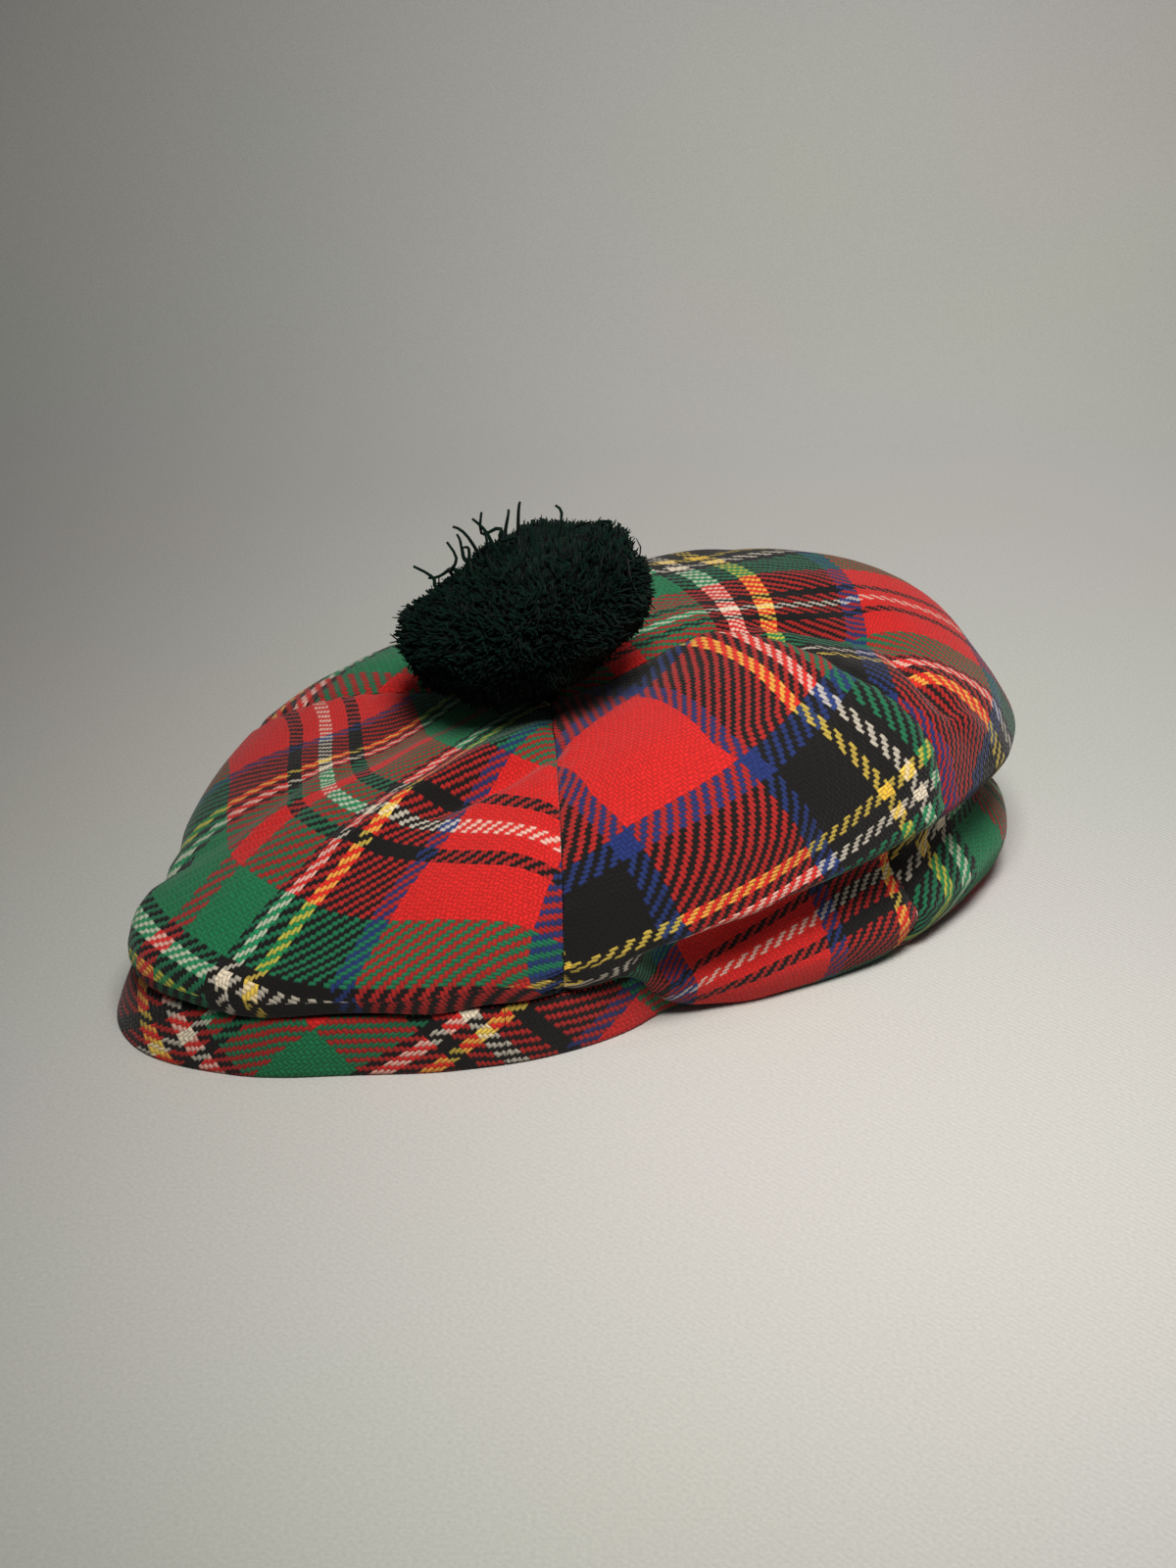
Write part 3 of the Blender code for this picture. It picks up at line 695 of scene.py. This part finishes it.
# The dye of each thread of a set, from its number: the sett runs to its mirror line and back
def settRamp(tree, sett, number):
    total = sum(count for _, count in sett)
    folded = addNode(tree, "Math", {"operation": "PINGPONG"}, _0=number, _1=float(total))
    share = addNode(tree, "Math", {"operation": "DIVIDE"}, _0=folded.outputs[0], _1=float(total))
    ramp = addNode(tree, "ValToRGB", Fac=share.outputs[0])
    ramp.color_ramp.interpolation = "CONSTANT"
    stops = ramp.color_ramp.elements
    stops.remove(stops[1])
    at = 0
    for i, (dye, count) in enumerate(sett):
        stop = stops[0] if i == 0 else stops.new(at / total)
        stop.position = at / total
        stop.color = colour(dyes[dye])
        at += count
    return ramp.outputs["Color"]


# A 2/2 twill of soft carded wool. It gives the eye diagonal ribs, matt colour and a faint bloom.
def buildTartan(name, first, second):
    material, tree = newMaterial(name)

    def maths(kind, *values):
        sockets = {"_%d" % i: value for i, value in enumerate(values)}
        return addNode(tree, "Math", {"operation": kind}, **sockets).outputs[0]

    where = addNode(tree, "TexCoord").outputs["Object"]
    counted = addNode(tree, "Attribute", {"attribute_name": "threads"}).outputs["Vector"]
    wander = addNode(tree, "TexNoise", Vector=where, Scale=twill["wanderScale"], Detail=1.0)
    centred = addNode(tree, "VectorMath", {"operation": "SUBTRACT"}, _0=wander.outputs["Color"],
                      _1=(0.5, 0.5, 0.5))
    small = addNode(tree, "VectorMath", {"operation": "SCALE"}, _0=centred.outputs[0],
                    Scale=twill["wander"])
    moved = addNode(tree, "VectorMath", {"operation": "ADD"}, _0=counted, _1=small.outputs[0])
    split = addNode(tree, "SeparateXYZ", Vector=moved.outputs[0])
    a, b = split.outputs[0], split.outputs[1]
    wholeA, wholeB = maths("FLOOR", a), maths("FLOOR", b)
    # Each yarn is above two others and then below two
    phaseA = maths("FLOORED_MODULO", maths("ADD", wholeA, b), 4.0)
    phaseB = maths("FLOORED_MODULO", maths("ADD", a, wholeB), 4.0)
    aOnTop = maths("LESS_THAN", phaseA, 2.0)
    dyeA = settRamp(tree, first, maths("ADD", wholeA, 0.5))
    dyeB = settRamp(tree, second, maths("ADD", wholeB, 0.5))
    above = mixColour(tree, aOnTop, dyeB, dyeA)
    under = mixColour(tree, aOnTop, dyeA, dyeB)
    # The yarn above is multiplied by the one below: partly its tint, partly painted shade from the
    # neighbouring yarns
    dye = mixColour(tree, twill["underTintAndShade"], above, under, "MULTIPLY")

    # Height of the yarn: round across itself, and dipping at both ends of each float
    def yarnHeight(number, phase):
        across = maths("SINE", maths("MULTIPLY", maths("FRACT", number), pi))
        dip = maths("SINE", maths("MULTIPLY", phase, pi / 2))
        low = maths("MULTIPLY_ADD", dip, twill["floatRise"], twill["floatLow"])
        return maths("MULTIPLY", maths("POWER", across, twill["roundness"]), low)

    heightB = yarnHeight(b, maths("SUBTRACT", phaseB, 2.0))
    height = addNode(tree, "Mix", Factor=aOnTop, _2=heightB, _3=yarnHeight(a, phaseA)).outputs[0]
    # Each yarn differs a little in its dye, the fibres speckle it, and painted shade darkens the hollows
    # between yarns
    pair = addNode(tree, "CombineXYZ", X=wholeA, Y=wholeB).outputs[0]
    yarn = addNode(tree, "TexWhiteNoise", {"noise_dimensions": "2D"}, Vector=pair).outputs["Value"]
    fibre = addNode(tree, "TexNoise", Vector=where, Scale=twill["fibreScale"], Detail=2.0).outputs["Fac"]
    yarnLight = maths("MULTIPLY_ADD", yarn, *twill["yarn"])
    fibreLight = maths("MULTIPLY_ADD", fibre, *twill["fibre"])
    hollowLight = maths("MULTIPLY_ADD", height, *twill["hollow"])
    toneAndHollowShade = maths("MULTIPLY", maths("MULTIPLY", yarnLight, fibreLight), hollowLight)
    shade = addNode(tree, "VectorMath", {"operation": "SCALE"}, _0=dye, Scale=toneAndHollowShade).outputs[0]
    dress(tree, shade, maths("MULTIPLY_ADD", fibre, twill["nap"], height), twill)
    return material


tartan = buildTartan("wool twill tartan", settA, settB)
biasTartan = buildTartan("wool twill tartan on the bias", settB, settB)

for name, made in panels.items():
    buildPanel(name, made)
print("crown built")

# Headband: a folded strip of the same cloth on the bias, joined at the front
strip = {
    "joint": -85.0, "columns": 400,  # the joint's angle in degrees
    "leanA": -0.80, "leanB": -0.50,  # threads a millimetre up the band, for each set
    # The folded edges are round over half of "edgeShare" of the height each
    "edgeShare": 0.14, "edgeSteps": 4, "flatSteps": 8, "flatFrom": 0.12, "edgeSoft": 0.08,
    "thin": 0.0009, "puff": 0.0006,  # how much thinner the edges are, and fuller the middle
    "piecing": 0.0006, "piecingWidth": 1.3,  # the second seam's groove, with its width in millimetres
}
# Where the two sets of threads cross the middle of the band: millimetres from the joint, and thread number
acrossA = ((-92.3, 0), (-63.6, 27), (-23.2, 50), (-9.5, 58), (33.8, 82))
acrossB = ((-106.0, 58), (-90.7, 50), (-48.6, 27), (-16.5, 9), (-3.9, 0), (11.7, -9), (43.0, -27))


def buildBand():
    opening = np.degrees(0.5 * cap["seamGap"] / bandReach(strip["joint"]))
    angle = np.linspace(strip["joint"] + opening, strip["joint"] + 360 - opening, strip["columns"] + 1)
    # Round folded edges below and above, and a little fullness between them
    steps = np.arange(1, strip["edgeSteps"] + 1) / strip["edgeSteps"]
    edgeRows = 0.5 * strip["edgeShare"] * (1 - np.cos(pi / 2 * steps))
    flatRows = np.linspace(strip["flatFrom"], 1 - strip["flatFrom"], strip["flatSteps"])
    high = np.concatenate([[0.0], edgeRows, flatRows, 1 - edgeRows[::-1], [1.0]])
    edge = np.clip(np.minimum(high, 1 - high) / strip["edgeSoft"], 0, 1)
    puff = strip["puff"] * np.sin(pi * high) - strip["thin"] * (1 - edge) ** 2
    a = np.radians(angle)
    reach = bandReach(angle)
    x, y = bandX + reach * np.cos(a), bandY + reach * np.sin(a)
    tangent = unit(np.stack([np.gradient(x), np.gradient(y)], -1))
    out = np.stack([tangent[:, 1], -tangent[:, 0]], -1)
    length = lengthFrom(np.stack([x, y], -1), 0)
    fromJoint = 1000 * np.where(length > length[-1] / 2, length - length[-1], length)
    # The strip is pieced once more at the back, where its edges draw in
    fromPiecing = np.abs(fromJoint) - 1000 * length[-1] / 2
    puff = puff[:, None] - strip["piecing"] * np.exp(-(fromPiecing / strip["piecingWidth"]) ** 2)
    grids = []
    for side in (1, -1):
        thick = side * (cap["bandThickness"] / 2 + puff)
        lean = (0.5 - high)[:, None] * bandLean(angle)
        gridX = x + thick * out[:, 0] + lean * np.cos(a)
        gridY = y + thick * out[:, 1] + lean * np.sin(a)
        gridZ = cap["bandHeight"] * high[:, None] + 0 * gridX
        grids.append(np.stack([gridX, gridY, gridZ], -1))
    verts, faces = wall(grids[1], grids[0])
    z = 1000 * (cap["bandHeight"] * (high - 0.5))[:, None]
    numbers = []
    for spots, lean, way in ((acrossA, strip["leanA"], 1), (acrossB, strip["leanB"], -1)):
        at, number = np.array(spots, float).T
        even = way / (1000 * threadSpacing * 2**0.5)  # threads a millimetre along a strip cut at 45 degrees
        line = np.interp(fromJoint, at, number)
        line += even * (np.minimum(fromJoint - at[0], 0) + np.maximum(fromJoint - at[-1], 0))
        numbers.append(line[None, :] + lean * z)
    threads = wallThreads(*numbers)
    addPiece("headband_cloth", verts + shift, faces, biasTartan, "headband", threads)


buildBand()
print("band built")

# Pompom: cut ends of bottle green yarn standing out from a tied middle
toorie = {
    # The middle as shares of the pompom's own sizes from the top centre, and its tilt in degrees
    "middle": (-0.080, 0.0, 0.560), "tilt": 24.0, "seed": 11,
    # Yarn ends and the finer fibres between them: how many, radius, how far they stray, and their reach
    "ends": (7300, 0.00068, 0.16, 1.0), "fibres": (2100, 0.000306, 0.30, 1.03), "length": 0.0105,
    # The yarn bunches into locks that stand out by different amounts, as shares of the radius
    "locks": 120, "lockWidth": 0.012, "stand": (-0.085, 0.065), "lockRise": 0.045, "gather": 1.1,
    "crest": (-0.75, -0.1, 0.45), "crestRise": 0.05, "crestFrom": 0.75,
    # The core, dark with painted shade, and the reach and unevenness of the cut ends, as shares of the radius
    "core": 0.86, "coreRise": 0.04, "coreFineness": 4, "cut": 0.95, "uneven": (-0.03, 0.025), "jitter": 0.03,
    "bow": 0.0008, "clear": 0.0008, "tipClear": 0.0006,  # how much ends bow, and clear the crown
    # Along each end: its width against its radius, and how light its colour is, darker towards the root as
    # painted shade
    "taper": (1.0, 1.1, 1.05, 0.5), "widths": (0.75, 1.2), "shadeToTip": (0.0, 0.15, 0.5, 1.0),
    "tints": (0.15, 0.9),
}
# The cut outline is uneven: angle in the picture's plane, half width in degrees, share that it bulges
cutRows = (
    (58, 16, 0.09), (176, 14, 0.10), (143, 14, -0.03), (100, 22, -0.02),
    (8, 18, 0.08), (-25, 16, -0.05), (-70, 20, 0.04), (-150, 22, 0.03),
)
# Long loose ends at the upper left: angle in the picture's plane, turn away from the viewer, length out
looseEnds = (
    (146, -10, 0.006), (139, 5, 0.009), (136, -12, 0.010), (133, 12, 0.009), (127, -4, 0.011),
    (123, 8, 0.012), (119, -8, 0.013), (116, 6, 0.012), (113, 0, 0.014), (110, 12, 0.010),
    (107, -5, 0.012), (103, 4, 0.009), (97, -3, 0.007), (79, 0, 0.007),
)
looseYarn = {"radius": 0.00085, "taper": (1.1, 0.55), "steps": 10, "from": 0.8, "out": 0.62, "tint": 0.55,
             "swirl": 0.0017, "turns": 0.9, "curl": 0.0036}
binding = {"steps": 24, "above": 0.004, "below": 0.0045, "tint": 0.2}
# dark is the painted shade colour of the roots and the core, and tips the colour at the tips
woolYarn = {
    "dark": "010403", "tips": "082119", "fibreScale": 1500.0, "speckle": (0.8, 0.6), "bump": 0.4,
    "bumpHeight": 0.0003, "surface": {"Roughness": 0.95, "Specular IOR Level": 0.05, "Sheen Weight": 0.03},
}


# Wool yarn, cut and fluffed, and dull: dark bottle green at the tips, with painted shade that darkens it to
# almost black towards the roots and in the core
def yarnMaterial():
    material, tree = newMaterial("bottle green wool yarn")
    where = addNode(tree, "TexCoord").outputs["Object"]
    tint = addNode(tree, "Attribute", {"attribute_name": "tint"}).outputs["Fac"]
    noise = addNode(tree, "TexNoise", Vector=where, Scale=woolYarn["fibreScale"], Detail=2.0)
    fibre = noise.outputs["Fac"]
    mixed = mixColour(tree, tint, colour(woolYarn["dark"]), colour(woolYarn["tips"]))
    vary, least = woolYarn["speckle"]
    lit = addNode(tree, "Math", {"operation": "MULTIPLY_ADD"}, _0=fibre, _1=vary, _2=least).outputs[0]
    shade = addNode(tree, "VectorMath", {"operation": "SCALE"}, _0=mixed, Scale=lit).outputs[0]
    dress(tree, shade, fibre, woolYarn)
    return material


# The crown's height under points in plan near the top centre, from lines drawn down it in every direction
def crownHeightAt(x, y):
    lines, step, points, far = 90, 4.0, 60, 0.36
    azimuth = np.degrees(np.arctan2(y - topY, x - topX))
    reach = np.hypot(x - topX, y - topY)
    line = crownPoint(step * np.arange(lines)[:, None], np.linspace(0, far, points)[None])
    away = np.hypot(line[..., 0] - topX, line[..., 1] - topY)
    near = np.round(azimuth / step).astype(int) % lines
    return np.array([np.interp(r, away[n], line[n, :, 2]) for r, n in zip(reach, near)])


# From the pompom's own upright frame to its tilted place on the cap
def toorieFrame(body):
    t = radians(toorie["tilt"])
    x = body[..., 0] * cos(t) - body[..., 2] * sin(t)
    z = body[..., 0] * sin(t) + body[..., 2] * cos(t)
    sizes = np.array([cap["pompomWidth"], cap["pompomDepth"], cap["pompomHeight"]])
    middle = np.array([topX, topY, topHeight]) + np.array(toorie["middle"]) * sizes
    return np.stack([x, body[..., 1], z], -1) + middle


# Three-sided strands through rows of points: path is (strands, points, 3) and thick (strands, points)
def strands(path, thick):
    n, m = path.shape[:2]
    across = np.array([0.3, 0.5, 0.8])  # a slanting direction, for the sides to be turned from
    along = unit(np.gradient(path, axis=1))
    side = unit(np.cross(along, across))
    up = np.cross(along, side)
    rings = [path + thick[..., None] * (cos(w) * side + sin(w) * up) for w in (0, 2 * pi / 3, 4 * pi / 3)]
    verts = np.stack(rings, 2).reshape(-1, 3)
    faces = []
    first = np.arange(n) * m * 3
    for j in range(m - 1):
        for k in range(3):
            a, b = 3 * j + k, 3 * j + (k + 1) % 3
            faces += np.stack([first + a, first + b, first + b + 3, first + a + 3], -1).tolist()
    last = first + 3 * (m - 1)
    faces += np.stack([last, last + 1, last + 2], -1).tolist()
    faces += np.stack([first + 2, first + 1, first], -1).tolist()
    return verts, faces


# How far the surface stands out in each direction, and how full a lock is there
def swell(d, locks, stand):
    weight = np.exp(-((1 - d @ locks.T) / toorie["lockWidth"]))
    turn = np.degrees(np.arctan2(d[:, 2], d[:, 0])) + toorie["tilt"]
    edge = sum(rise * np.exp(-(turnGap(turn, at) / wide) ** 2) for at, wide, rise in cutRows)
    return (weight @ stand) / weight.sum(1) + edge * np.hypot(d[:, 0], d[:, 2]) ** 2, weight.max(1)


# Directions spread evenly over a ball
def spiral(count):
    k = np.arange(count) + 0.5
    up = 1 - 2 * k / count
    turn = k * pi * (3 - 5**0.5)
    return np.stack([np.sqrt(1 - up**2) * np.cos(turn), np.sqrt(1 - up**2) * np.sin(turn), up], -1)


# Points and faces of the ball inside, lifted off the crown. It takes the darkest colour, as painted shade
# inside the pompom.
def pompomCore(half, locks, stand):
    bm = bmesh.new()
    bmesh.ops.create_icosphere(bm, subdivisions=toorie["coreFineness"], radius=1.0)
    dirs = unit(np.array([v.co[:] for v in bm.verts]))
    faces = [[v.index for v in f.verts] for f in bm.faces]
    bm.free()
    more, full = swell(dirs, locks, stand)
    core = toorieFrame(dirs * half * (toorie["core"] + more + toorie["coreRise"] * full)[:, None])
    core[:, 2] = np.maximum(core[:, 2], crownHeightAt(core[:, 0], core[:, 1]) + toorie["clear"])
    return core, faces


# Paths, widths and tints of short ends that stand out all over, leaning into their locks
def cutEnds(rng, half, locks, stand, ends):
    count, thick, spread, reach = ends
    d = spiral(count)
    d = unit(d + rng.normal(scale=toorie["jitter"], size=d.shape))
    normal = unit(d / half)
    closest = np.argmax(d @ locks.T, 1)
    more, full = swell(d, locks, stand)
    lean = unit(normal + spread * rng.normal(size=d.shape) + toorie["gather"] * (locks[closest] - d))
    cut = toorie["cut"] + more + toorie["lockRise"] * full + rng.uniform(*toorie["uneven"], size=count)
    base = d * half * (reach * cut[:, None]) - lean * toorie["length"]
    steps = np.linspace(0, 1, len(toorie["taper"]))[None, :, None]
    bow = rng.normal(scale=toorie["bow"], size=d.shape)[:, None] * np.sin(pi * steps)
    path = toorieFrame(base[:, None] + lean[:, None] * toorie["length"] * steps + bow)
    width = thick * rng.uniform(*toorie["widths"], size=(count, 1)) * np.array(toorie["taper"])
    # Each end's tint varies at random, and painted shade darkens it towards its root
    tint = rng.uniform(*toorie["tints"], size=(count, 1)) * np.array(toorie["shadeToTip"])
    low = crownHeightAt(path[:, -1, 0], path[:, -1, 1])
    keep = path[:, -1, 2] > low + toorie["tipClear"]
    return path[keep], width[keep], tint[keep]


# Paths, widths and tints of the long loose ends
def looseStrands(rng, half):
    steps = np.linspace(0, 1, looseYarn["steps"])
    step = steps[:, None]
    paths = []
    for angle, back, out in looseEnds:
        a, b = radians(angle - toorie["tilt"]), radians(back)
        way = np.array([cos(a) * cos(b), sin(b), sin(a) * cos(b)])
        reach = np.linalg.norm(way * half) * (1 - looseYarn["from"]) + looseYarn["out"] * out
        wave = np.sin(2 * pi * looseYarn["turns"] * step)
        swirl = rng.normal(scale=looseYarn["swirl"], size=(1, 3)) * wave
        curl = rng.normal(scale=looseYarn["curl"], size=(1, 3)) * step**2
        paths.append(toorieFrame(way * half * looseYarn["from"] + way * reach * step + (swirl + curl)))
    taper = looseYarn["taper"][0] + (looseYarn["taper"][1] - looseYarn["taper"][0]) * steps
    width = looseYarn["radius"] * np.tile(taper, (len(paths), 1))
    return np.array(paths), width, np.full(width.shape, looseYarn["tint"])


# Points and faces of the yarn that ties the pompom down through the crown
def bindingYarn():
    n = binding["steps"]
    turn = np.arange(n) * 2 * pi / n
    x, y = topX + cap["bindingRadius"] * np.cos(turn), topY + cap["bindingRadius"] * np.sin(turn)
    ends = (topHeight + binding["above"], topHeight - binding["below"])
    verts = np.concatenate([np.stack([x, y, 0 * turn + z], -1) for z in ends])
    faces = [[i, n + i, n + (i + 1) % n, (i + 1) % n] for i in range(n)]
    return verts, faces + [list(range(n)), list(range(2 * n - 1, n - 1, -1))]


def buildToorie():
    rng = np.random.default_rng(toorie["seed"])
    half = np.array([cap["pompomWidth"], cap["pompomDepth"], cap["pompomHeight"]]) / 2
    locks = unit(rng.normal(size=(toorie["locks"], 3)))
    stand = rng.uniform(*toorie["stand"], size=len(locks))
    crest = np.clip(locks @ unit(np.array(toorie["crest"])), toorie["crestFrom"], 1) - toorie["crestFrom"]
    stand += toorie["crestRise"] * crest
    core, coreFaces = pompomCore(half, locks, stand)
    # The core takes the darkest colour: painted shade inside the pompom
    parts = [(core, coreFaces, np.zeros(len(core)))]
    bunches = [cutEnds(rng, half, locks, stand, toorie[kind]) for kind in ("ends", "fibres")]
    for path, width, tint in (*bunches, looseStrands(rng, half)):
        verts, faces = strands(path, width)
        verts[:, 2] = np.maximum(verts[:, 2], 0.0)
        parts.append((verts, faces, np.repeat(tint.reshape(-1), 3)))
    verts, faces = bindingYarn()
    parts.append((verts, faces, np.full(len(verts), binding["tint"])))
    allFaces = []
    count = 0
    for verts, faces, _ in parts:
        allFaces += [[i + count for i in face] for face in faces]
        count += len(verts)
    allVerts = np.concatenate([part[0] for part in parts]) + shift
    tints = np.concatenate([part[2] for part in parts])
    yarn = yarnMaterial()
    addPiece("toorie_yarn", allVerts, allFaces, yarn, "toorie", tint=tints, sharp=180)


buildToorie()
print("pompom built")
